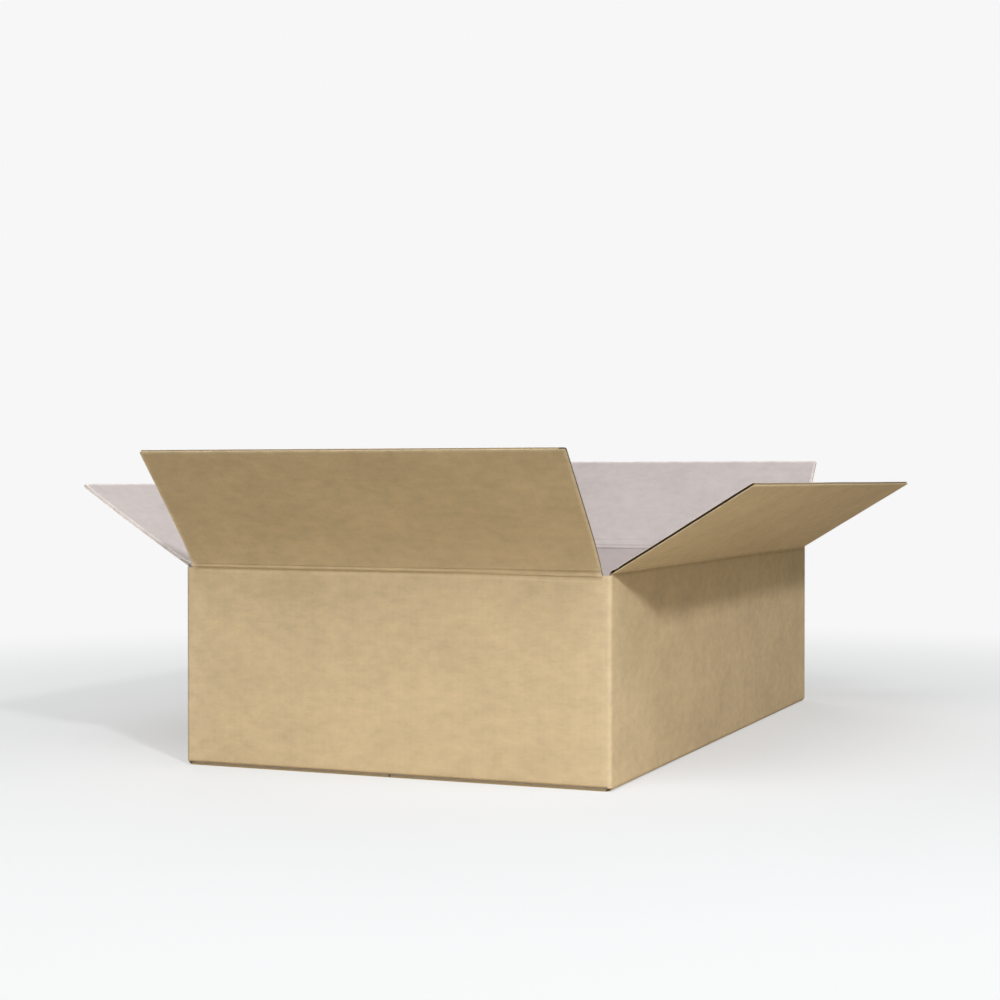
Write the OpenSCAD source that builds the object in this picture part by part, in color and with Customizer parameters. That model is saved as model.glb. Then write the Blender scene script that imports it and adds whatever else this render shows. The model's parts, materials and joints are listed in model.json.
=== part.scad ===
// Open shipping carton: one scored, slotted and folded sheet of thin corrugated board, with a glued
// base and four short top flaps that lean outwards. Lengths are in millimetres, angles in degrees.
// The origin is the middle of the base, on the surface that the carton stands on. X runs along the
// short front and back walls, Y along the long side walls, and Z is up. The front wall faces -Y.

/* [Carton] */
// Outside width, along the short front and back walls
box_w = 240; // [220:5:400]
// Outside depth, along the long side walls
box_d = 415; // [300:5:600]
// Height of the long side walls, from the base to the score of their flaps
box_h = 106.5; // [95:0.5:300]
// Thickness of the corrugated board
board = 1.5; // [1:0.1:2.5]
// Inside radius of the upright corner folds
corner_in_r = 2; // [0.5:0.1:4]
// Inside radius of the folds round the base
base_in_r = 1; // [0.5:0.1:3]

/* [Top flaps] */
// Length of the front and back flaps, from score to free edge
end_flap_len = 81; // [40:1:90]
// Length of the left and right flaps, from score to free edge
side_flap_len = 83; // [40:1:90]
// How many degrees the front flap leans outwards from upright
lean_front_deg = 40; // [20:0.5:70]
// How many degrees the back flap leans outwards from upright
lean_back_deg = 42; // [20:0.5:70]
// How many degrees the left flap leans outwards from upright
lean_left_deg = 59; // [20:0.5:70]
// How many degrees the right flap leans outwards from upright
lean_right_deg = 58.5; // [20:0.5:70]

/* [Slots] */
// Width of each slot beyond the corner fold, cut out of the front and back flaps
slot_side = 1; // [0.5:0.1:4]
// Depth that each slot is cut past the score
slot_drop = 1; // [0.2:0.1:4]
// Distance that the ends of the side flaps stay back from the front and back faces
side_flap_inset = 2; // [1.8:0.1:6]

/* [Scores] */
// Gap along the score between a wall's bevelled top and its flap
fold_gap = 0.2; // [0.1:0.05:0.4]
// Gap between the closed side flaps and the closed end flaps under them
closed_gap = 0.3; // [0.2:0.05:0.6]
// Distance between the two grooves pressed into the outside along each top score
crease_pitch = 3.6; // [3:0.1:6]
// Width of each groove
crease_w = 1.2; // [0.6:0.1:2]
// Depth of each groove
crease_depth = 0.35; // [0.1:0.05:0.6]

/* [Base] */
// Gap at the middle seam between the two outer base flaps
seam_gap = 1; // [0.4:0.1:4]
// Length of the inner base flaps, which fold in from the front and back walls
end_base_len = 118; // [60:1:145]

/* [Glue lap] */
// Width of the lap that joins the left wall to the inside of the back wall
lap_w = 30; // [20:1:45]
// Distance that the lap's ends slope back towards its free edge
lap_taper = 8; // [2:1:15]
// Distance that the lap's ends stay clear of the folds above and below it
lap_end_gap = 4; // [2:0.5:10]
// Distance from the left side to the raw edge of the back wall
raw_edge_gap = 1; // [0.2:0.1:3]

/* [Hidden] */

kraft = "#c8b183";

// The front and back scores lie lower, so that the side flaps close on top of the end flaps
end_h = box_h - board - closed_gap;

corner_r = corner_in_r + board;
base_r = base_in_r + board;
end_flap_half = box_w / 2 - corner_r - slot_side;
side_flap_half = box_d / 2 - side_flap_inset;
side_base_len = (box_w - seam_gap) / 2;
slot_low = board + slot_drop;
slot_high = end_h - slot_drop;
lap_low = 2 * board + lap_end_gap;
lap_high = end_h - board - lap_end_gap;

// Turn about Z that takes +X to the way each wall faces
face_right = 0;
face_back = 90;
face_left = 180;
face_front = 270;

// Sections are drawn with the wall's outside face at x = 0, outwards to +x, and up to +y

// A quarter of a bend in the board, from the outside face round to underneath
module bend_2d(in_r) {
    out_r = in_r + board;
    intersection() {
        difference() {
            circle(r = out_r, $fn = 64);
            circle(r = in_r, $fn = 64);
        }
        translate([0, -out_r]) square(out_r);
    }
}

// One round-bottomed groove in the outside face
module groove_2d(height) {
    groove_r = (pow(crease_w / 2, 2) + pow(crease_depth, 2)) / (2 * crease_depth);
    translate([groove_r - crease_depth, height]) circle(r = groove_r, $fn = 64);
}

// A wall's section: bevelled along the top, and bent under at the foot into its base flap
module wall_2d(score, foot, base_len) {
    top = score - fold_gap;
    bend_top = foot + base_r;
    difference() {
        union() {
            polygon([[0, bend_top], [0, top], [-board, top - board], [-board, bend_top]]);
            translate([-base_r, bend_top]) bend_2d(base_in_r);
            translate([-base_len, foot]) square([base_len - base_r, board]);
        }
        groove_2d(score - crease_pitch / 2);
    }
}

// A top flap's section, standing upright on its score at the origin
module flap_2d(length) {
    difference() {
        polygon([[0, 0], [0, length], [-board, length], [-board, board]]);
        groove_2d(crease_pitch / 2);
    }
}

// Draws a section out between two places along its wall
module run(from, to) {
    translate([0, 0, from]) linear_extrude(to - from) children();
}

// Sets a section up on the wall that faces the given way, at the given distance from the middle
module on_wall(facing, reach) {
    rotate([0, 0, facing]) translate([reach, 0, 0]) rotate([90, 0, 0]) children();
}

// One long side wall and its outer base flap; far_cut shortens the wall's far end
module side_wall(facing, far_cut) {
    wall_half = box_d / 2 - corner_r;
    on_wall(facing, box_w / 2) {
        run(-wall_half, wall_half - far_cut) wall_2d(box_h, 0, side_base_len);
        run(-side_flap_half, side_flap_half)
            translate([-side_base_len, 0]) square([side_base_len - base_r, board]);
    }
}

// One short wall and its inner base flap, with plain board beside the slots at each end
module end_wall(facing, near_end) {
    on_wall(facing, box_d / 2) {
        run(-end_flap_half, end_flap_half) wall_2d(end_h, board, end_base_len);
        run(-near_end, -end_flap_half) slot_foot_2d();
        run(end_flap_half, box_w / 2 - corner_r) slot_foot_2d();
    }
}

// Section of the short walls between the slots above and below it
module slot_foot_2d() {
    translate([-board, slot_low]) square([board, slot_high - slot_low]);
}

// An upright corner fold, centred on its bend
module corner_fold(x, y, turn, low, high) {
    translate([x, y, low]) rotate([0, 0, turn]) linear_extrude(high - low) bend_2d(corner_in_r);
}

// The lap bent in from the left wall and glued flat inside the back wall
module glue_lap() {
    bend_x = -box_w / 2 + corner_r;
    face_y = box_d / 2 - board;
    reach = lap_w - corner_r;
    corner_fold(bend_x, face_y - corner_r, 180, lap_low, lap_high);
    translate([bend_x, face_y, 0]) rotate([90, 0, 0]) linear_extrude(board)
        polygon([[0, lap_low], [reach, lap_low + lap_taper], [reach, lap_high - lap_taper], [0, lap_high]]);
}

// Walls, base and glue lap: everything of the sheet that doesn't move
module carton() {
    corner_x = box_w / 2 - corner_r;
    corner_y = box_d / 2 - corner_r;
    color(kraft) {
        side_wall(face_right, 0);
        side_wall(face_left, board);
        end_wall(face_front, corner_x);
        end_wall(face_back, box_w / 2 - raw_edge_gap);
        corner_fold(corner_x, -corner_y, 0, slot_low, slot_high);
        corner_fold(corner_x, corner_y, 90, slot_low, slot_high);
        corner_fold(-corner_x, -corner_y, 270, slot_low, slot_high);
        glue_lap();
    }
}

// A top flap, turned outwards about its score
module top_flap(facing, reach, score, half, length, lean) {
    color(kraft)
        rotate([0, 0, facing]) translate([reach, 0, score]) rotate([0, lean, 0]) rotate([90, 0, 0])
            run(-half, half) flap_2d(length);
}

module flap_front() {
    top_flap(face_front, box_d / 2, end_h, end_flap_half, end_flap_len, lean_front_deg);
}

module flap_back() {
    top_flap(face_back, box_d / 2, end_h, end_flap_half, end_flap_len, lean_back_deg);
}

module flap_left() {
    top_flap(face_left, box_w / 2, box_h, side_flap_half, side_flap_len, lean_left_deg);
}

module flap_right() {
    top_flap(face_right, box_w / 2, box_h, side_flap_half, side_flap_len, lean_right_deg);
}

carton();
flap_front();
flap_back();
flap_left();
flap_right();
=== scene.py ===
"""Open shipping carton: the looks of one folded sheet of thin corrugated board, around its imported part.

It is laid out as an add-on and run as a script. Lengths are in metres, in the part's own frame: X runs
along the short front and back walls, Y along the long side walls, and the front wall faces -Y.

The board is drawn as a flat sheet and folded by a function. A point of the sheet is given by its place
along the outside of the walls, by its height up the sheet, and by its depth in from the outside face.
"""

import json
import math

import bpy
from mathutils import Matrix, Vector, noise


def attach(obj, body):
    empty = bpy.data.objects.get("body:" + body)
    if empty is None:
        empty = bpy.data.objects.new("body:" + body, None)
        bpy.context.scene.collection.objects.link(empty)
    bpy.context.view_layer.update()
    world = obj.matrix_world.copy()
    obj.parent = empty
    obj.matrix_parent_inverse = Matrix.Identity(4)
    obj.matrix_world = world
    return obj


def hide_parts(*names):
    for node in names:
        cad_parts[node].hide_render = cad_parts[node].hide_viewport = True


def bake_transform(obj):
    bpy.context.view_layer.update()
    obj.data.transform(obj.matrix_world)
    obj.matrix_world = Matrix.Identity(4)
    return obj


bl_info = {
    "name": "Open Shipping Carton",
    "version": (1, 0, 0),
    "blender": (4, 5, 0),
    "location": "View3D > Sidebar > Carton",
    "description": "Builds an open corrugated carton with its scores, flaps, stage and lights",
    "category": "Add Mesh",
}

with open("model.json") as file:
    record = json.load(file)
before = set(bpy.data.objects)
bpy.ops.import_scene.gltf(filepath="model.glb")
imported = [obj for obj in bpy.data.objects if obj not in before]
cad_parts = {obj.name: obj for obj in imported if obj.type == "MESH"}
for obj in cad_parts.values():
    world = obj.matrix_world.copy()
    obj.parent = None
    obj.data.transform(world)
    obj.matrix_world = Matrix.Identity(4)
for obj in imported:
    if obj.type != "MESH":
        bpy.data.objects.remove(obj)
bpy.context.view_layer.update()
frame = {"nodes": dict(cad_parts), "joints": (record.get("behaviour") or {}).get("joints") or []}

MM = 0.001
UP = Vector((0, 0, 1))
QUARTER = math.pi / 2


class Score:
    """One top score: where it lies, and the flap that turns on it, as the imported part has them."""

    def __init__(self, wall):
        hinge = next(j for j in frame["joints"] if j["name"] == wall + "_fold")
        self.wall = wall
        self.flap = hinge["child"]
        self.origin = Vector(hinge["pos_m"])
        self.along = Vector(hinge["axis"])
        self.out = self.along.cross(UP)
        corners = [v.co - self.origin for v in frame["nodes"][self.flap].data.vertices]
        edge = max(corners, key=lambda c: c.dot(self.out))
        self.lean = math.atan2(edge.dot(self.out), edge.z)
        self.length = math.hypot(edge.dot(self.out), edge.z)
        self.half = max(abs(c.dot(self.along)) for c in corners)
        self.flap_up = self.out * math.sin(self.lean) + UP * math.cos(self.lean)
        self.flap_out = self.out * math.cos(self.lean) - UP * math.sin(self.lean)
        self.board = -min(c.dot(self.flap_out) for c in corners)


scores = {wall: Score(wall) for wall in ("front", "right", "back", "left")}
BOARD = scores["front"].board
HALF_WIDTH = scores["right"].origin.x
HALF_DEPTH = scores["back"].origin.y


def linear(hex_colour):
    """An sRGB hex colour as linear red, green, blue and alpha."""
    parts = [int(hex_colour[i : i + 2], 16) / 255 for i in (1, 3, 5)]
    return [c / 12.92 if c <= 0.04045 else ((c + 0.055) / 1.055) ** 2.4 for c in parts] + [1.0]


def length(name, description, millimetres):
    """A length that a user may change."""
    return bpy.props.FloatProperty(
        name=name, description=description, default=millimetres * MM, unit="LENGTH", subtype="DISTANCE"
    )


def colour(name, description, hex_colour):
    """A surface colour that a user may change."""
    return bpy.props.FloatVectorProperty(
        name=name, description=description, default=linear(hex_colour), size=4, min=0, max=1, subtype="COLOR"
    )


class CartonBoardSettings(bpy.types.PropertyGroup):
    """The corrugated board and how the carton is cut from it."""

    liner: length("Liner", "Thickness of each liner of the board", 0.16)
    flute_pitch: length("Flute pitch", "Distance between neighbouring flutes", 3.3)
    medium: length("Fluting", "Thickness of the fluted paper between the liners", 0.15)
    pinch: length("Pinched edge", "How far the fluting lies back at a crushed edge", 0.25)
    channel: length("Open edge", "How far the fluting lies back at an edge cut along the flutes", 3.4)
    corner_radius: length("Corner radius", "Outside radius of the upright corner folds", 2.2)
    base_radius: length("Base radius", "Outside radius of the folds under the side walls", 2.5)
    inner_radius: length("Inner base radius", "Outside radius of the folds under the short walls", 1.6)
    corner_top: length("Corner top", "How far above the front score each upright corner ends", 1.05)
    corner_foot: length("Corner foot", "How far above the outer base flaps each upright corner ends", 0.3)
    seam_gap: length("Seam gap", "Gap between the two outer base flaps", 0.3)
    base_inset: length("Base inset", "How far the outer base flaps end short of the front and back", 0.8)
    inner_base: length("Inner base flap", "Length of the base flaps of the short walls", 118)
    lap_width: length("Lap width", "Width of the glue lap inside the back wall", 30)
    lap_taper: length("Lap taper", "How far the lap's ends slope back towards its free edge", 8)
    lap_clear: length("Lap clearance", "Distance between the lap's ends and the folds beside them", 4)
    raw_edge_gap: length("Raw edge gap", "Distance from the left side to the back wall's raw edge", 1)
    glue_gap: length("Glue line", "Thickness of the glue between two layers of board", 0.05)


class CartonScoreSettings(bpy.types.PropertyGroup):
    """The pressed lines that the top flaps fold on."""

    below: length("Reach below", "How far below the score the pressed strip begins", 4.2)
    above: length("Reach above", "How far up the flap the pressed strip ends", 5.4)
    valley: length("Valley", "Depth of the valley that the fold turns in", 0.4)
    ridge: length("Ridge", "Height of the ridge beside the valley, on the flap", 0.14)
    second_groove: length("Second groove", "Depth of the shallower groove above the ridge", 0.22)
    inner_groove: length("Inner groove", "Depth of the groove pressed into the inside, on the flap", 0.3)
    fade: length("Fade", "Length over which the pressed lines fade out before the slots", 3)


class CartonFlapSettings(bpy.types.PropertyGroup):
    """The small ways in which the top flaps are not quite flat or square."""

    bow_angle: bpy.props.FloatProperty(
        name="Bow angle",
        description="How much steeper the front and back flaps leave their score than they end",
        default=math.radians(17),
        unit="ROTATION",
        subtype="ANGLE",
    )
    bow_reach: length("Bow reach", "Distance over which that bend in a flap fades", 10)
    tip_radius: length("Tip radius", "Radius of the worn tips of the flaps", 1)
    left_trim: length("Left trim", "How much shorter the left flap is than the right one", 4)
    left_curl: length("Left curl", "How far the free edge of the left flap curls up", 2.3)
    ripple: length("Ripple", "Height of the slow waves in the flaps", 0.15)


class CartonColourSettings(bpy.types.PropertyGroup):
    """Colours of the papers and of the floor."""

    kraft: colour("Kraft liner", "Brown recycled paper outside", "#CAB591")
    grey: colour("Grey liner", "Grey-white recycled paper inside", "#B7AEAC")
    medium: colour("Fluting", "Raw paper of the fluting and cut edges", "#9C8A68")
    floor: colour("Floor", "Painted floor", "#D6D8DA")


def node(tree, kind, inputs=None, **settings):
    """Adds a shader node with its settings, and fills or links its inputs."""
    made = tree.nodes.new("ShaderNode" + kind)
    for name, value in settings.items():
        setattr(made, name, value)
    for name, value in (inputs or {}).items():
        if isinstance(value, bpy.types.NodeSocket):
            tree.links.new(value, made.inputs[name])
        else:
            made.inputs[name].default_value = value
    return made


def new_material(name):
    """An empty node material of that name, and its node tree."""
    material = bpy.data.materials.new(name)
    material.use_nodes = True
    material.node_tree.nodes.clear()
    return material, material.node_tree


def grain(tree, place, across, up, detail, seed):
    """Noise on the flat sheet, with grains of that size in millimetres along and up the sheet."""
    size = (1 / (across * MM), 1 / (up * MM), 1)
    scaled = node(tree, "Mapping", {"Vector": place, "Scale": size, "Location": (seed, seed, 0)})
    return node(
        tree,
        "TexNoise",
        {"Vector": scaled.outputs["Vector"], "Scale": 1.0, "Detail": detail, "Roughness": 0.6},
        noise_dimensions="2D",
    ).outputs["Fac"]


def weighted(tree, parts):
    """One half plus the sum of each noise's distance from one half times its weight."""
    total = 0.5
    for factor, weight in parts:
        total = node(
            tree, "Math", {0: factor, 1: weight, 2: total}, operation="MULTIPLY_ADD"
        ).outputs[0]
        total = node(tree, "Math", {0: total, 1: weight / 2}, operation="SUBTRACT").outputs[0]
    return total


def shaded(colour_value, factor):
    """A colour made darker or lighter by that factor."""
    return [min(c * factor, 1.0) for c in colour_value[:3]] + [1.0]


def blend(tree, factor, first, second):
    """The colour between two others, by that factor."""
    return node(tree, "Mix", {0: factor, 6: first, 7: second}, data_type="RGBA").outputs[2]


def paper(name, colour_value, spread, seed, flute_pitch, speck, worn, roughness):
    """Recycled paper rolled in a mill: fibres lie along the sheet, over soft clouds and a few specks.

    The flutes under the paper show as a very faint pattern of upright lines: a small bump, and painted shade
    of that ripple in the colour. The paper is paler by a mask on its points: scuffed along the flaps' cut
    edges, and a painted highlight beside the upright folds, where the rounded corners catch the light.
    """
    material, tree = new_material(name)
    place = node(tree, "UVMap", uv_map="blank").outputs["UV"]
    clouds = grain(tree, place, 38, 26, 3, seed)
    patches = grain(tree, place, 9, 5, 3, seed + 7)
    fibres = grain(tree, place, 4.5, 0.9, 4, seed + 13)
    specks = grain(tree, place, 2.4, 1.6, 2, seed + 29)
    # Painted shade of the flutes' washboard ripple: a faint colour wave at the flute pitch, which also
    # drives a small bump
    along = node(tree, "SeparateXYZ", {0: place}).outputs["X"]
    turns = node(tree, "Math", {0: along, 1: 2 * math.pi / flute_pitch}, operation="MULTIPLY").outputs[0]
    shadow_lines = node(tree, "Math", {0: turns}, operation="SINE").outputs[0]
    tone = weighted(tree, ((clouds, 0.9), (patches, 0.9), (fibres, 0.35), (shadow_lines, 0.02)))
    sheet = blend(tree, tone, shaded(colour_value, 1 - spread), shaded(colour_value, 1 + spread))
    spot = node(
        tree, "MapRange", {"Value": specks, "From Min": 0.70, "From Max": 0.84, "To Min": 0.0, "To Max": 0.3}
    ).outputs["Result"]
    marked = blend(tree, spot, sheet, speck)
    # Paler where the points' mask is set: scuffed paper at the flaps' cut edges, and a painted highlight
    # beside the upright folds
    wear_and_highlight_mask = node(tree, "Attribute", attribute_name="wear_and_highlight", attribute_type="GEOMETRY").outputs["Fac"]
    rough_edge = node(tree, "Math", {0: patches, 1: 1.8}, operation="MULTIPLY").outputs[0]
    wear_and_highlight_mask = node(tree, "Math", {0: wear_and_highlight_mask, 1: rough_edge}, operation="MULTIPLY", use_clamp=True).outputs[0]
    height = weighted(tree, ((fibres, 0.5), (patches, 0.3), (shadow_lines, 0.03)))
    bump = node(tree, "Bump", {"Height": height, "Strength": 1.0, "Distance": 0.03 * MM})
    shader = node(
        tree,
        "BsdfPrincipled",
        {
            "Base Color": blend(tree, wear_and_highlight_mask, marked, worn),
            "Roughness": roughness,
            "IOR": 1.5,
            "Normal": bump.outputs["Normal"],
        },
    )
    output = node(tree, "OutputMaterial")
    tree.links.new(shader.outputs["BSDF"], output.inputs["Surface"])
    return material


def cut_paper(name, colour_value):
    """Raw corrugating medium and die-cut edges: rough, matt, with short torn fibres."""
    material, tree = new_material(name)
    place = node(tree, "TexCoord").outputs["Object"]
    fibres = node(
        tree, "TexNoise", {"Vector": place, "Scale": 1 / (0.6 * MM), "Detail": 3.0, "Roughness": 0.6}
    ).outputs["Fac"]
    sheet = blend(tree, fibres, shaded(colour_value, 0.75), shaded(colour_value, 1.25))
    shader = node(tree, "BsdfPrincipled", {"Base Color": sheet, "Roughness": 0.95, "IOR": 1.5})
    output = node(tree, "OutputMaterial")
    tree.links.new(shader.outputs["BSDF"], output.inputs["Surface"])
    return material


def finishes(scene):
    """The carton's papers, made once: outside liner, inside liner, fluting and cut edges."""
    names = ("kraft_liner_mill_rolled", "grey_liner_mill_rolled", "fluting_die_cut")
    if names[0] not in bpy.data.materials:
        colours = scene.carton_colours
        pitch = scene.carton_board.flute_pitch
        # Each paper's pale colour serves both the scuffed cut edges and the painted highlight beside the
        # upright folds
        paper(
            names[0], colours.kraft, spread=0.15, seed=3, flute_pitch=pitch,
            speck=linear("#8A7550"), worn=linear("#E6D6B8"), roughness=0.82,
        )
        paper(
            names[1], colours.grey, spread=0.10, seed=41, flute_pitch=pitch,
            speck=linear("#9A9090"), worn=linear("#DED6D2"), roughness=0.85,
        )
        cut_paper(names[2], colours.medium)
    return [bpy.data.materials[name] for name in names]


OUTSIDE, INSIDE, CUT = range(3)

# Pale backdrop, and the distances from the carton over which the floor fades into it
BACKDROP = "#F7F7F7"
FADE_START = 0.3
FADE_END = 0.9

# Share of the backdrop that the floor shows beside the carton, so that its shadow stays soft
NEAR_GLOW = 0.45

# Colours of the light that the floor throws back, beside the carton and far from it
BOUNCE_NEAR = "#D0C8B8"
BOUNCE_FAR = "#6E695C"

# Each lamp: the way to it from the carton, its distance and width, and how bright its light is there
LAMPS = {
    "key": ((0.571, -0.649, 0.503), 2.164, 0.15, 0.49),
    "overhead": ((0.1, -0.6, 0.8), 1.5, 1.2, 0.78),
    "fill": ((0.75, -0.2, 0.65), 1.5, 1.0, 0.2),
    "rear": ((-0.55, 0.75, 0.5), 1.6, 1.2, 0.35),
}

# Two places on the sheet that are nearer than this are the same
TOLERANCE = 0.01 * MM

# How far the wave of fluting lies back from the liners' free edges
WAVE_INSET = 0.1 * MM

# How far the inside of a fold is rounded to each side of its score, and the share that it is crushed
FOLD_REACH = 1.7 * MM
FOLD_CRUSH = 0.42

# Millimetres up the flap to the middle of the groove pressed into the inside, and its half width
INNER_GROOVE_MIDDLE = 3.9
INNER_GROOVE_HALF = 1.3

# Reach of the painted highlight beside the upright folds, where the rounded corners catch the light, and of
# the scuffed paper along the flaps' cut edges
CORNER_HIGHLIGHT_REACH = 7 * MM
EDGE_WEAR = 2.0 * MM

# Ends of each flap, along its score, where the fluting shows open; the others are crushed shut
OPEN_ENDS = {"front": (1,), "right": (-1, 1), "back": (-1, 1), "left": (-1,)}


def evenly(low, high, pitch):
    """Values from low to high, evenly spaced and at most pitch apart."""
    count = max(1, math.ceil((high - low) / pitch - 0.001))
    return [low + (high - low) * i / count for i in range(count + 1)]


def stations(marks, pitch):
    """The marks in order, with evenly spaced values between neighbours that are far apart."""
    ordered = sorted({round(mark, 8) for mark in marks})
    values = []
    for low, high in zip(ordered, ordered[1:]):
        values += evenly(low, high, pitch)[:-1]
    return values + [ordered[-1]]


class Cells:
    """The part of a flat sheet that its board fills, as cells between two rows of stations."""

    def __init__(self, across, up, filled=lambda p, q: True):
        self.across = across
        self.up = up
        self.filled = {
            (i, j)
            for i in range(len(across) - 1)
            for j in range(len(up) - 1)
            if filled((across[i] + across[i + 1]) / 2, (up[j] + up[j + 1]) / 2)
        }

    def inward(self, i, j):
        """Which way the board lies from one corner of the cells, across and up: -1, 0 or 1."""
        low_left, low_right, high_left, high_right = (
            (i + a, j + b) in self.filled for b in (-1, 0) for a in (-1, 0)
        )
        return (
            (low_right or high_right) - (low_left or high_left),
            (high_left or high_right) - (low_left or low_right),
        )


class Piece:
    """The points and faces of one piece. Each point also keeps its place on the flat sheet."""

    def __init__(self, flat=lambda p, q: (p, q), worn=lambda p, q: 0.0):
        self.flat = flat
        self.worn = worn
        self.points = []
        self.blank = []
        self.wear_and_highlight = []
        self.faces = []
        self.looks = []

    def face(self, ring, look):
        """One face with its finish."""
        self.faces.append(ring)
        self.looks.append(look)

    def layer(self, cells, place, depths, looks, recess=(0, 0)):
        """A closed slab over the cells, between two depths in from the outside face.

        looks are the finishes of its near face, far face and edges. recess is how far its edges lie
        back across and up, either as a length or as a function of the point.
        """
        index = {}

        def corner(i, j):
            if (i, j) not in index:
                p, q = cells.across[i], cells.up[j]
                back = recess(p, q) if callable(recess) else recess
                inward = cells.inward(i, j)
                p, q = p + inward[0] * back[0], q + inward[1] * back[1]
                index[i, j] = len(self.points)
                self.points += [place(p, q, depths[0]), place(p, q, depths[1])]
                self.blank += [self.flat(p, q)] * 2
                self.wear_and_highlight += [self.worn(p, q)] * 2
            return index[i, j]

        open_edges = {}
        for i, j in sorted(cells.filled):
            ring = [corner(i, j), corner(i + 1, j), corner(i + 1, j + 1), corner(i, j + 1)]
            self.face(ring, looks[0])
            self.face([k + 1 for k in reversed(ring)], looks[1])
            for edge in zip(ring, ring[1:] + ring[:1]):
                if open_edges.pop(edge[::-1], None) is None:
                    open_edges[edge] = True
        for a, b in open_edges:
            self.face([b, a, a + 1, b + 1], looks[2])

    def board(self, cells, core, place, settings, recess, edge=CUT):
        """Corrugated board over the cells: two liners, and between them the fluting as one core."""
        liner = settings.liner
        rim = OUTSIDE if edge == CUT else edge
        self.layer(cells, place, (0, liner), (OUTSIDE, CUT, rim))
        self.layer(core, place, (liner, BOARD - liner), (CUT, CUT, edge), recess)
        self.layer(cells, place, (BOARD - liner, BOARD), (CUT, INSIDE, INSIDE))

    def fluting(self, place, settings, start, stop, edge, inner):
        """The wave of fluted paper that shows between the liners along an edge cut across the flutes."""
        pitch = settings.flute_pitch
        swing = BOARD / 2 - settings.liner - settings.medium / 2

        def wavy(p, q, depth):
            return place(p, q, BOARD / 2 + swing * math.cos(2 * math.pi * p / pitch) + depth)

        cells = Cells(evenly(start, stop, pitch / 8), sorted((edge, inner)))
        half = settings.medium / 2
        self.layer(cells, wavy, (-half, half), (CUT, CUT, CUT))

    def build(self, name, materials, node_name=None):
        """Makes the object, with its finishes and the flat sheet's coordinates."""
        mesh = bpy.data.meshes.new(name)
        mesh.from_pydata(self.points, [], self.faces)
        for material in materials:
            mesh.materials.append(material)
        mesh.polygons.foreach_set("material_index", self.looks)
        blank = mesh.uv_layers.new(name="blank")
        blank.data.foreach_set("uv", [c for loop in mesh.loops for c in self.blank[loop.vertex_index]])
        mesh.attributes.new("wear_and_highlight", "FLOAT", "POINT").data.foreach_set("value", self.wear_and_highlight)
        mesh.polygons.foreach_set("use_smooth", [True] * len(self.faces))
        mesh.set_sharp_from_angle(angle=math.radians(38))
        made = bpy.data.objects.new(name, mesh)
        bpy.context.scene.collection.objects.link(made)
        if node_name:
            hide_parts(node_name)
        return made


class Wall:
    """One wall of the carton: its frame at floor level and where it lies on the flat sheet."""

    def __init__(self, score, middle, start, stop, foot, radius):
        self.score = score
        self.along = score.along
        self.out = score.out
        self.origin = Vector((score.origin.x, score.origin.y, 0))
        self.middle = middle
        self.start = start
        self.stop = stop
        self.foot = foot
        self.radius = radius
        self.arc = radius * QUARTER


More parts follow.
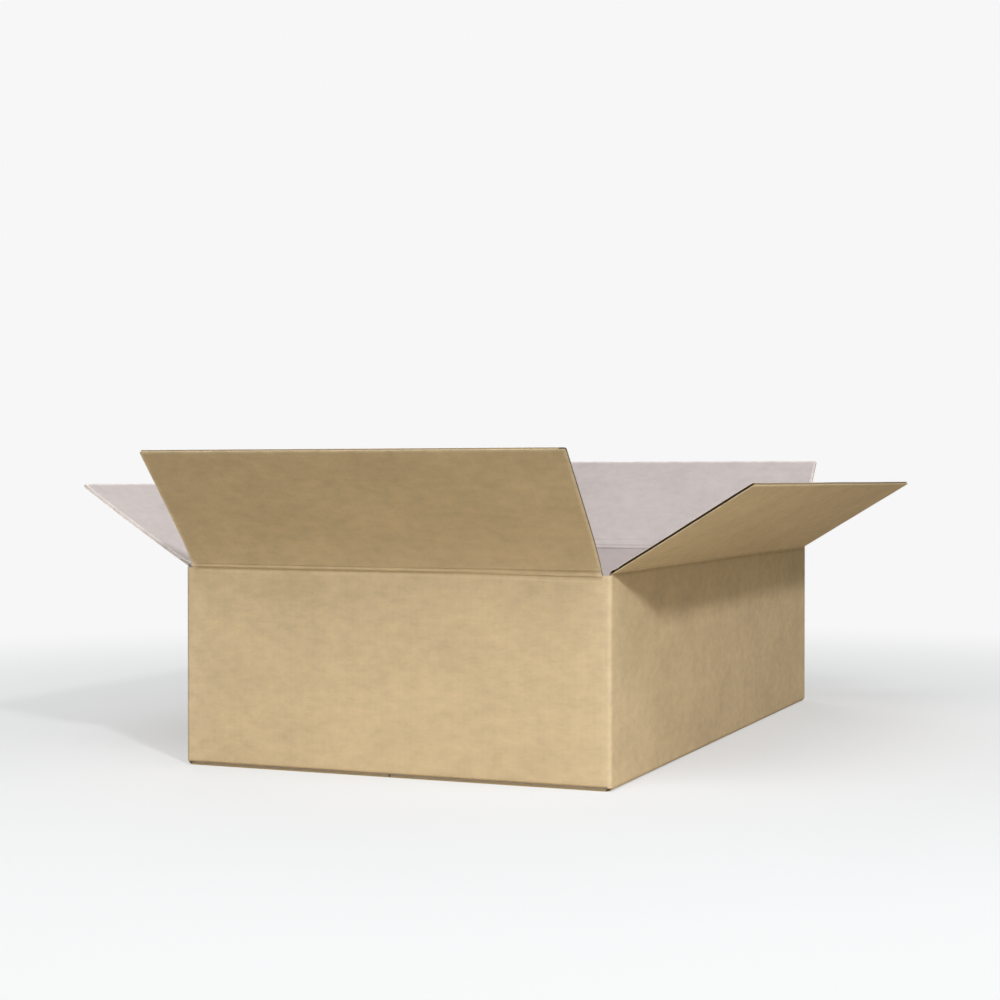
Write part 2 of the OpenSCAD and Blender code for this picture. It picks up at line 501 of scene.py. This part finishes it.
class Blank:
    """The flat sheet of the carton and how it folds up: walls, corners, base flaps and glue lap."""

    def __init__(self, board, score_settings):
        self.board = board
        radius = board.corner_radius
        self.arc = radius * QUARTER
        end, side = HALF_WIDTH - radius, HALF_DEPTH - radius
        raw_edge = HALF_WIDTH - board.raw_edge_gap
        lap_bend = HALF_DEPTH - BOARD - board.glue_gap - radius
        around = end + self.arc + side
        high = BOARD + board.glue_gap
        outer, inner = board.base_radius, board.inner_radius
        self.walls = [
            Wall(scores["left"], -around, -lap_bend, side, 0, outer),
            Wall(scores["front"], 0, -end, end, high, inner),
            Wall(scores["right"], around, -side, side, 0, outer),
            Wall(scores["back"], around + side + self.arc + end, -end, raw_edge, high, inner),
        ]
        self.base_half = HALF_DEPTH - board.base_inset
        left = self.walls[0]
        self.lap_bend = left.middle + left.start
        self.lap_root = self.lap_bend - self.arc
        self.lap_edge = self.lap_root - (board.lap_width - radius)
        self.slot_low = BOARD + board.corner_foot
        self.slot_high = scores["front"].origin.z + board.corner_top
        self.lap_low = 2 * BOARD + board.lap_clear
        self.lap_high = scores["front"].origin.z - BOARD - board.lap_clear
        self.below = score_settings.below

    def is_side(self, wall):
        """Whether it is one of the long side walls, whose base flaps lie outside."""
        return wall.foot == 0

    def top(self, wall):
        """Height at which the wall meets its pressed strip."""
        return wall.score.origin.z - self.below

    def bend_top(self, wall):
        """Height at which the wall starts to bend under."""
        return wall.foot + wall.radius

    def base_end(self, wall):
        """Place up the sheet of the free edge of the wall's base flap."""
        reach = HALF_WIDTH - self.board.seam_gap / 2 if self.is_side(wall) else self.board.inner_base
        return self.bend_top(wall) - wall.arc - (reach - wall.radius)

    def nearest(self, p):
        """The wall whose flat stretch is nearest to a place along the sheet."""
        return min(self.walls, key=lambda w: abs(p - w.middle) - (w.stop if p > w.middle else -w.start))

    def fills(self, p, q):
        """Whether the sheet has board there: the slots between its flaps are cut out."""
        if p < self.lap_bend and q > self.slot_low:
            return self.lap_low < q < self.lap_high
        wall = self.nearest(p)
        s = p - wall.middle
        flat_base = q < self.bend_top(wall) - wall.arc
        if self.is_side(wall) and flat_base:
            return abs(s) < self.base_half and q > self.base_end(wall)
        inside = wall.start < s < wall.stop
        if self.is_side(wall) and inside:
            return self.base_end(wall) < q < self.top(wall)
        if inside and abs(s) < wall.score.half:
            return self.base_end(wall) < q < self.top(wall)
        return self.slot_low < q < self.slot_high

    def taper(self, p, q):
        """Slopes the ends of the glue lap back towards its free edge."""
        if p >= self.lap_root or q < self.slot_low:
            return q
        share = (self.lap_root - p) / (self.lap_root - self.lap_edge)
        middle = (self.lap_low + self.lap_high) / 2
        reach = (self.lap_high - self.lap_low) / 2
        return middle + (q - middle) * (1 - share * self.board.lap_taper / reach)

    def place(self, p, q, depth):
        """Where a point of the flat sheet lies in the folded carton."""
        wall = self.nearest(p)
        s = p - wall.middle
        radius = self.board.corner_radius
        under = self.bend_top(wall) - q
        flat = wall.start - TOLERANCE < s < wall.stop + TOLERANCE
        if under > 0 and (flat or under > wall.arc - TOLERANCE):
            return self.place_base(wall, s, under, depth)
        height = UP * self.taper(p, q)
        if s > wall.stop:
            turn = (s - wall.stop) / radius
            centre = wall.origin + wall.along * wall.stop - wall.out * radius
            spoke = wall.out * math.cos(turn) + wall.along * math.sin(turn)
            return centre + spoke * (radius - depth) + height
        if s < wall.start:
            turn = min((wall.start - s) / radius, QUARTER)
            rest = max(wall.start - s - self.arc, 0)
            centre = wall.origin + wall.along * wall.start - wall.out * (radius + rest)
            spoke = wall.out * math.cos(turn) - wall.along * math.sin(turn)
            return centre + spoke * (radius - depth) + height
        return wall.origin + wall.along * s - wall.out * depth + height

    def place_base(self, wall, s, under, depth):
        """Where a point lies that is folded under the wall, that far past the start of the bend."""
        turn = min(under / wall.radius, QUARTER)
        rest = max(under - wall.arc, 0)
        centre = wall.origin + wall.along * s - wall.out * (wall.radius + rest) + UP * self.bend_top(wall)
        return centre + (wall.out * math.cos(turn) - UP * math.sin(turn)) * (wall.radius - depth)


def along_stations(blank):
    """Places along the sheet: every cut, both ends of each corner fold, and points between."""
    marks = [blank.lap_edge, blank.lap_root]
    marks += evenly(blank.lap_root, blank.lap_bend, blank.arc / 8)
    for wall in blank.walls:
        marks += [wall.middle + wall.start, wall.middle + wall.stop]
        half = blank.base_half if blank.is_side(wall) else wall.score.half
        marks += [wall.middle - half, wall.middle + half]
        marks += [wall.middle + side * (wall.stop - CORNER_HIGHLIGHT_REACH / 2) for side in (-1, 1)]
    for before, after in zip(blank.walls, blank.walls[1:]):
        marks += evenly(before.middle + before.stop, after.middle + after.start, blank.arc / 8)
    return stations(marks, 14 * MM)


def up_stations(blank):
    """Places up the sheet: every cut, each base fold, and points between."""
    marks = [blank.slot_low, blank.slot_high, blank.lap_low, blank.lap_high]
    for wall in blank.walls[:2]:
        bend = blank.bend_top(wall)
        marks += [blank.base_end(wall), blank.top(wall)]
        marks += evenly(bend - wall.arc, bend, wall.arc / 7)
    return stations(marks, 14 * MM)


def build_shell(scene):
    """Walls, corner folds, base flaps and glue lap: all of the sheet that doesn't move."""
    board = scene.carton_board
    blank = Blank(board, scene.carton_scores)
    cells = Cells(along_stations(blank), up_stations(blank), blank.fills)
    tops = {round(blank.top(wall), 8) for wall in blank.walls}

    raw_edge = blank.walls[-1].middle + blank.walls[-1].stop

    def recess(p, q):
        back = board.channel if p > raw_edge - TOLERANCE else board.pinch
        return back, 0 if round(q, 8) in tops else board.pinch

    # Painted highlight: the walls turn paler towards each upright fold, where the rounded corner catches the
    # light
    def worn(p, q):
        wall = blank.nearest(p)
        past = abs(p - wall.middle) - wall.stop
        return 0.12 * smooth(1 + past / CORNER_HIGHLIGHT_REACH)

    shell = Piece(worn=worn)
    shell.board(cells, cells, blank.place, board, recess)
    for wall in blank.walls:
        edge = blank.base_end(wall)
        reach = wall.score.half - board.channel
        start, stop = wall.middle - reach, wall.middle + reach
        shell.fluting(blank.place, board, start, stop, edge + WAVE_INSET, edge + board.pinch * 2)
    made = shell.build("carton_walls_and_base", finishes(scene), "carton")
    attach(made, "carton")


def flap_length(score, flaps):
    """Length of a flap from its score to its free edge."""
    return score.length - (flaps.left_trim if score.wall == "left" else 0)


def bow(score, flaps, w):
    """How far a point that far up a flap lies out from the flat board of the part."""
    if score.wall == "right":
        return 0
    if score.wall == "left":
        return -flaps.left_curl * (w / score.length) ** 2 if w > 0 else 0
    reach = flaps.bow_reach
    ease = reach * (1 - math.exp(-score.length / reach)) / score.length
    return flaps.bow_angle * (ease * w - reach * (1 - math.exp(-w / reach)))


def hump(x, centre, half):
    """A smooth bump of height 1 about the centre."""
    return 0.5 + 0.5 * math.cos(math.pi * (x - centre) / half) if abs(x - centre) < half else 0.0


def smooth(x):
    """Eases from 0 to 1 as x goes from 0 to 1."""
    x = min(max(x, 0.0), 1.0)
    return x * x * (3 - 2 * x)


def relief(score, settings, s, w):
    """Height of the pressed lines over the outside face, along and up from the score.

    The places and widths of the lines are in millimetres.

    The top of the wall leans in to the valley, whose far side rises to a ridge with a shallower groove
    above it. Towards one end the fold runs lower than the pressed line, and a crease parts the wall's top.
    """
    ends = smooth((score.half - 1.0 * MM - abs(s)) / settings.fade)
    late = smooth(s / score.half)
    drift = 0.25 * noise.noise(Vector((s * 14, 3.1, score.lean)))
    up = w / MM - drift
    x = up + 1.1 * late
    valley = settings.valley * (smooth((x + 1.7) / 2.0) - smooth((x - 0.6) / 1.3))
    ridge = settings.ridge * (1 - late) * hump(x, 1.95, 0.9)
    second = settings.second_groove * hump(up, 3.0, 1.0)
    shelf = settings.valley * late * (smooth((up - 0.5) / 1.1) - smooth((up - 1.9) / 2.0))
    crease = 0.45 * settings.second_groove * late * hump(x, -0.6, 0.6)
    return ends * (ridge - valley - second - shelf - crease)


def edge_wear(score, flaps):
    """How worn the paper of a flap is at each point: most at its cut edges."""

    def worn(s, w):
        from_edge = min(score.half - abs(s), flap_length(score, flaps) - w)
        return max(1 - from_edge / EDGE_WEAR, 0.0) * smooth(w / MM)

    return worn


def build_score(scene, blank, wall):
    """The pressed strip that joins a wall to its flap."""
    score = wall.score
    board = scene.carton_board
    settings = scene.carton_scores
    flaps = scene.carton_flaps
    corner = FOLD_REACH

    def flap_point(w, raise_by):
        return score.flap_up * w + score.flap_out * (bow(score, flaps, w) + raise_by)

    def outer(s, w):
        raised = relief(score, settings, s, w)
        return UP * w + score.out * raised if w < 0 else flap_point(w, raised)

    start = UP * -corner - score.out * BOARD
    stop = flap_point(corner, -BOARD)
    start_turn, stop_turn = (math.atan2(-c.dot(score.out), c.z) for c in (start, stop))

    def inner(w):
        if w <= -corner:
            return UP * w - score.out * BOARD
        if w >= corner:
            groove = settings.inner_groove * hump(w / MM, INNER_GROOVE_MIDDLE, INNER_GROOVE_HALF)
            return flap_point(w, groove - BOARD)
        share = (w + corner) / (2 * corner)
        turn = start_turn + (stop_turn - start_turn) * share
        crushed = 1 - FOLD_CRUSH * hump(share, 0.5, 0.5)
        reach = (start.length + (stop.length - start.length) * share) * crushed
        return (UP * math.cos(turn) - score.out * math.sin(turn)) * reach

    ends = (wall.start, wall.stop) if blank.is_side(wall) else (-score.half, score.half)

    def place(s, w, depth):
        share = smooth(w / MM + 0.5)
        side = (s + score.half) / (2 * score.half)
        s = s * share + (ends[0] + (ends[1] - ends[0]) * side) * (1 - share)
        near = outer(s, w)
        return score.origin + score.along * s + near.lerp(inner(w), depth / BOARD)

    across = evenly(-score.half, score.half, 4 * MM)
    up = stations((-settings.below, -corner, 0, corner, settings.above), 0.3 * MM)

    def recess(s, w):
        wide = board.channel if math.copysign(1, s) in OPEN_ENDS[score.wall] else board.pinch
        return board.pinch + (wide - board.pinch) * smooth(w / MM + 1), 0

    strip = Piece(lambda s, w: (wall.middle + s, score.origin.z + w), edge_wear(score, flaps))
    cells = Cells(across, up)
    strip.board(cells, cells, place, board, recess, closed_edge(score))
    made = strip.build("score_" + score.wall, finishes(scene))
    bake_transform(made)


def closed_edge(score):
    """Finish of the crushed edges of a flap: the left one shows the grey liner there."""
    return INSIDE if score.wall == "left" else CUT


def build_flap(scene, wall):
    """One top flap, from its pressed strip to its free edge."""
    score = wall.score
    board = scene.carton_board
    flaps = scene.carton_flaps
    start = scene.carton_scores.above
    stop = flap_length(score, flaps)
    seed = score.origin.x * 10 + score.origin.y * 10

    def place(s, w, depth):
        tip = max(w - (stop - flaps.tip_radius), 0) / flaps.tip_radius
        cut = flaps.tip_radius * (1 - math.sqrt(max(1 - tip * tip, 0)))
        s = s * (score.half - cut) / score.half
        wave = noise.noise(Vector((s / 0.07, w / 0.05, seed))) * flaps.ripple * smooth((w - start) / 0.02)
        raised = bow(score, flaps, w) + wave - depth
        return score.origin + score.along * s + score.flap_up * w + score.flap_out * raised

    tip_marks = [stop - flaps.tip_radius * (1 - math.sin(QUARTER * k / 4)) for k in range(5)]
    edge_marks = [score.half - d * MM for d in (0, 0.5, EDGE_WEAR / MM)]
    across = stations([m * side for m in edge_marks for side in (-1, 1)], 8 * MM)
    up = stations([start, stop - EDGE_WEAR, *tip_marks], 6 * MM)
    root = round(start, 8)
    shut = 0 if score.wall == "left" else board.pinch

    def recess(s, w):
        back = board.channel if math.copysign(1, s) in OPEN_ENDS[score.wall] else shut
        return back, 0 if round(w, 8) == root else board.pinch

    flap = Piece(lambda s, w: (wall.middle + s, score.origin.z + w), edge_wear(score, flaps))
    core = Cells(evenly(-score.half, score.half, 8 * MM), evenly(start, stop, 6 * MM))
    flap.board(Cells(across, up), core, place, board, recess, closed_edge(score))
    reach = score.half - board.channel
    flap.fluting(place, board, -reach, reach, stop - WAVE_INSET, stop - board.pinch * 2)
    made = flap.build(score.flap + "_board", finishes(scene), score.flap)
    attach(made, score.flap)


def build_floor(scene):
    """A plain pale floor that fades into the backdrop far from the carton."""
    side = 14.0
    mesh = bpy.data.meshes.new("floor")
    corners = [(-side, -side, 0), (side, -side, 0), (side, side, 0), (-side, side, 0)]
    mesh.from_pydata(corners, [], [(0, 1, 2, 3)])
    floor = bpy.data.objects.new("floor", mesh)
    scene.collection.objects.link(floor)
    material, tree = new_material("floor_paint_matt")
    path = node(tree, "LightPath")
    place = node(tree, "TexCoord").outputs["Object"]
    away = node(tree, "VectorMath", {0: place}, operation="LENGTH").outputs["Value"]
    fade = node(
        tree, "MapRange", {"Value": away, "From Min": FADE_START, "From Max": FADE_END},
        interpolation_type="SMOOTHSTEP",
    )
    glow = node(tree, "MapRange", {"Value": fade.outputs["Result"], "To Min": NEAR_GLOW, "To Max": 1.0})
    direct = path.outputs["Is Camera Ray"]
    seen = node(tree, "Math", {0: glow.outputs["Result"], 1: direct}, operation="MULTIPLY")
    bounce = blend(tree, fade.outputs["Result"], linear(BOUNCE_NEAR), linear(BOUNCE_FAR))
    paint = blend(tree, direct, bounce, scene.carton_colours.floor)
    matt = node(tree, "BsdfDiffuse", {"Color": paint})
    white = node(tree, "Emission", {"Color": linear(BACKDROP), "Strength": 1.0})
    mixed = node(tree, "MixShader", {0: seen.outputs[0], 1: matt.outputs[0], 2: white.outputs[0]})
    output = node(tree, "OutputMaterial")
    tree.links.new(mixed.outputs[0], output.inputs["Surface"])
    mesh.materials.append(material)


def build_world(scene):
    """Weak even light from all round, over a pale backdrop that only the camera sees."""
    world = bpy.data.worlds.new("studio")
    scene.world = world
    world.use_nodes = True
    tree = world.node_tree
    tree.nodes.clear()
    path = node(tree, "LightPath")
    soft = node(tree, "Background", {"Color": (1, 0.97, 0.93, 1), "Strength": 0.07})
    white = node(tree, "Background", {"Color": linear(BACKDROP), "Strength": 1.0})
    direct = path.outputs["Is Camera Ray"]
    mixed = node(tree, "MixShader", {0: direct, 1: soft.outputs[0], 2: white.outputs[0]})
    output = node(tree, "OutputWorld")
    tree.links.new(mixed.outputs[0], output.inputs["Surface"])


def build_lamp(scene, name, toward, distance, size, level):
    """A soft box in that direction from the carton, whose light has that level at the carton."""
    lamp = bpy.data.lights.new(name, "AREA")
    lamp.shape = "DISK"
    lamp.size = size
    lamp.energy = level * (math.pi * distance) ** 2
    made = bpy.data.objects.new(name, lamp)
    direction = Vector(toward).normalized()
    made.location = Vector((0, 0, 0.1)) + direction * distance
    made.rotation_mode = "QUATERNION"
    made.rotation_quaternion = direction.to_track_quat("Z", "Y")
    scene.collection.objects.link(made)


def build_camera(scene):
    """The camera at the photograph's place, with its lens."""
    camera = bpy.data.cameras.new("camera")
    camera.sensor_width = 36
    camera.lens = 68.03
    made = bpy.data.objects.new("camera", camera)
    made.location = (0.4179, -1.0803, 0.1530)
    made.rotation_euler = (math.radians(90 - 0.64), 0, math.radians(22.21))
    scene.collection.objects.link(made)
    scene.camera = made


class CARTON_OT_stage(bpy.types.Operator):
    """Build the floor, the backdrop, the lamps and the camera"""

    bl_idname = "carton.stage"
    bl_label = "Stage"

    def execute(self, context):
        scene = context.scene
        scene.view_settings.view_transform = "Standard"
        build_floor(scene)
        build_world(scene)
        for name, lamp in LAMPS.items():
            build_lamp(scene, name, *lamp)
        build_camera(scene)
        return {"FINISHED"}


class CARTON_OT_shell(bpy.types.Operator):
    """Build the walls, the corner folds, the base flaps and the glue lap"""

    bl_idname = "carton.shell"
    bl_label = "Walls and Base"

    def execute(self, context):
        build_shell(context.scene)
        return {"FINISHED"}


class CARTON_OT_scores(bpy.types.Operator):
    """Build the four pressed strips that the top flaps fold on"""

    bl_idname = "carton.scores"
    bl_label = "Scores"

    def execute(self, context):
        blank = Blank(context.scene.carton_board, context.scene.carton_scores)
        for wall in blank.walls:
            build_score(context.scene, blank, wall)
        return {"FINISHED"}


class CARTON_OT_flaps(bpy.types.Operator):
    """Build the four top flaps"""

    bl_idname = "carton.flaps"
    bl_label = "Top Flaps"

    def execute(self, context):
        for wall in Blank(context.scene.carton_board, context.scene.carton_scores).walls:
            build_flap(context.scene, wall)
        return {"FINISHED"}


class CARTON_PT_panel(bpy.types.Panel):
    """Shows the carton's build buttons and its settings"""

    bl_label = "Shipping Carton"
    bl_idname = "CARTON_PT_panel"
    bl_space_type = "VIEW_3D"
    bl_region_type = "UI"
    bl_category = "Carton"

    def draw(self, context):
        for operator in OPERATORS:
            self.layout.operator(operator.bl_idname)
        for group in SETTINGS:
            settings = getattr(context.scene, group)
            for name in settings.__annotations__:
                self.layout.prop(settings, name)


OPERATORS = (CARTON_OT_stage, CARTON_OT_shell, CARTON_OT_scores, CARTON_OT_flaps)
SETTINGS = {
    "carton_board": CartonBoardSettings,
    "carton_scores": CartonScoreSettings,
    "carton_flaps": CartonFlapSettings,
    "carton_colours": CartonColourSettings,
}


def register():
    """Adds the settings, the operators and the panel."""
    for name, group in SETTINGS.items():
        bpy.utils.register_class(group)
        setattr(bpy.types.Scene, name, bpy.props.PointerProperty(type=group))
    for operator in (*OPERATORS, CARTON_PT_panel):
        bpy.utils.register_class(operator)


def unregister():
    """Takes them away again."""
    for operator in (CARTON_PT_panel, *reversed(OPERATORS)):
        bpy.utils.unregister_class(operator)
    for name, group in reversed(SETTINGS.items()):
        delattr(bpy.types.Scene, name)
        bpy.utils.unregister_class(group)


def main():
    """Builds the stage and the carton."""
    register()
    bpy.ops.carton.stage()
    bpy.ops.carton.shell()
    bpy.ops.carton.scores()
    bpy.ops.carton.flaps()


if __name__ == "__main__":
    main()
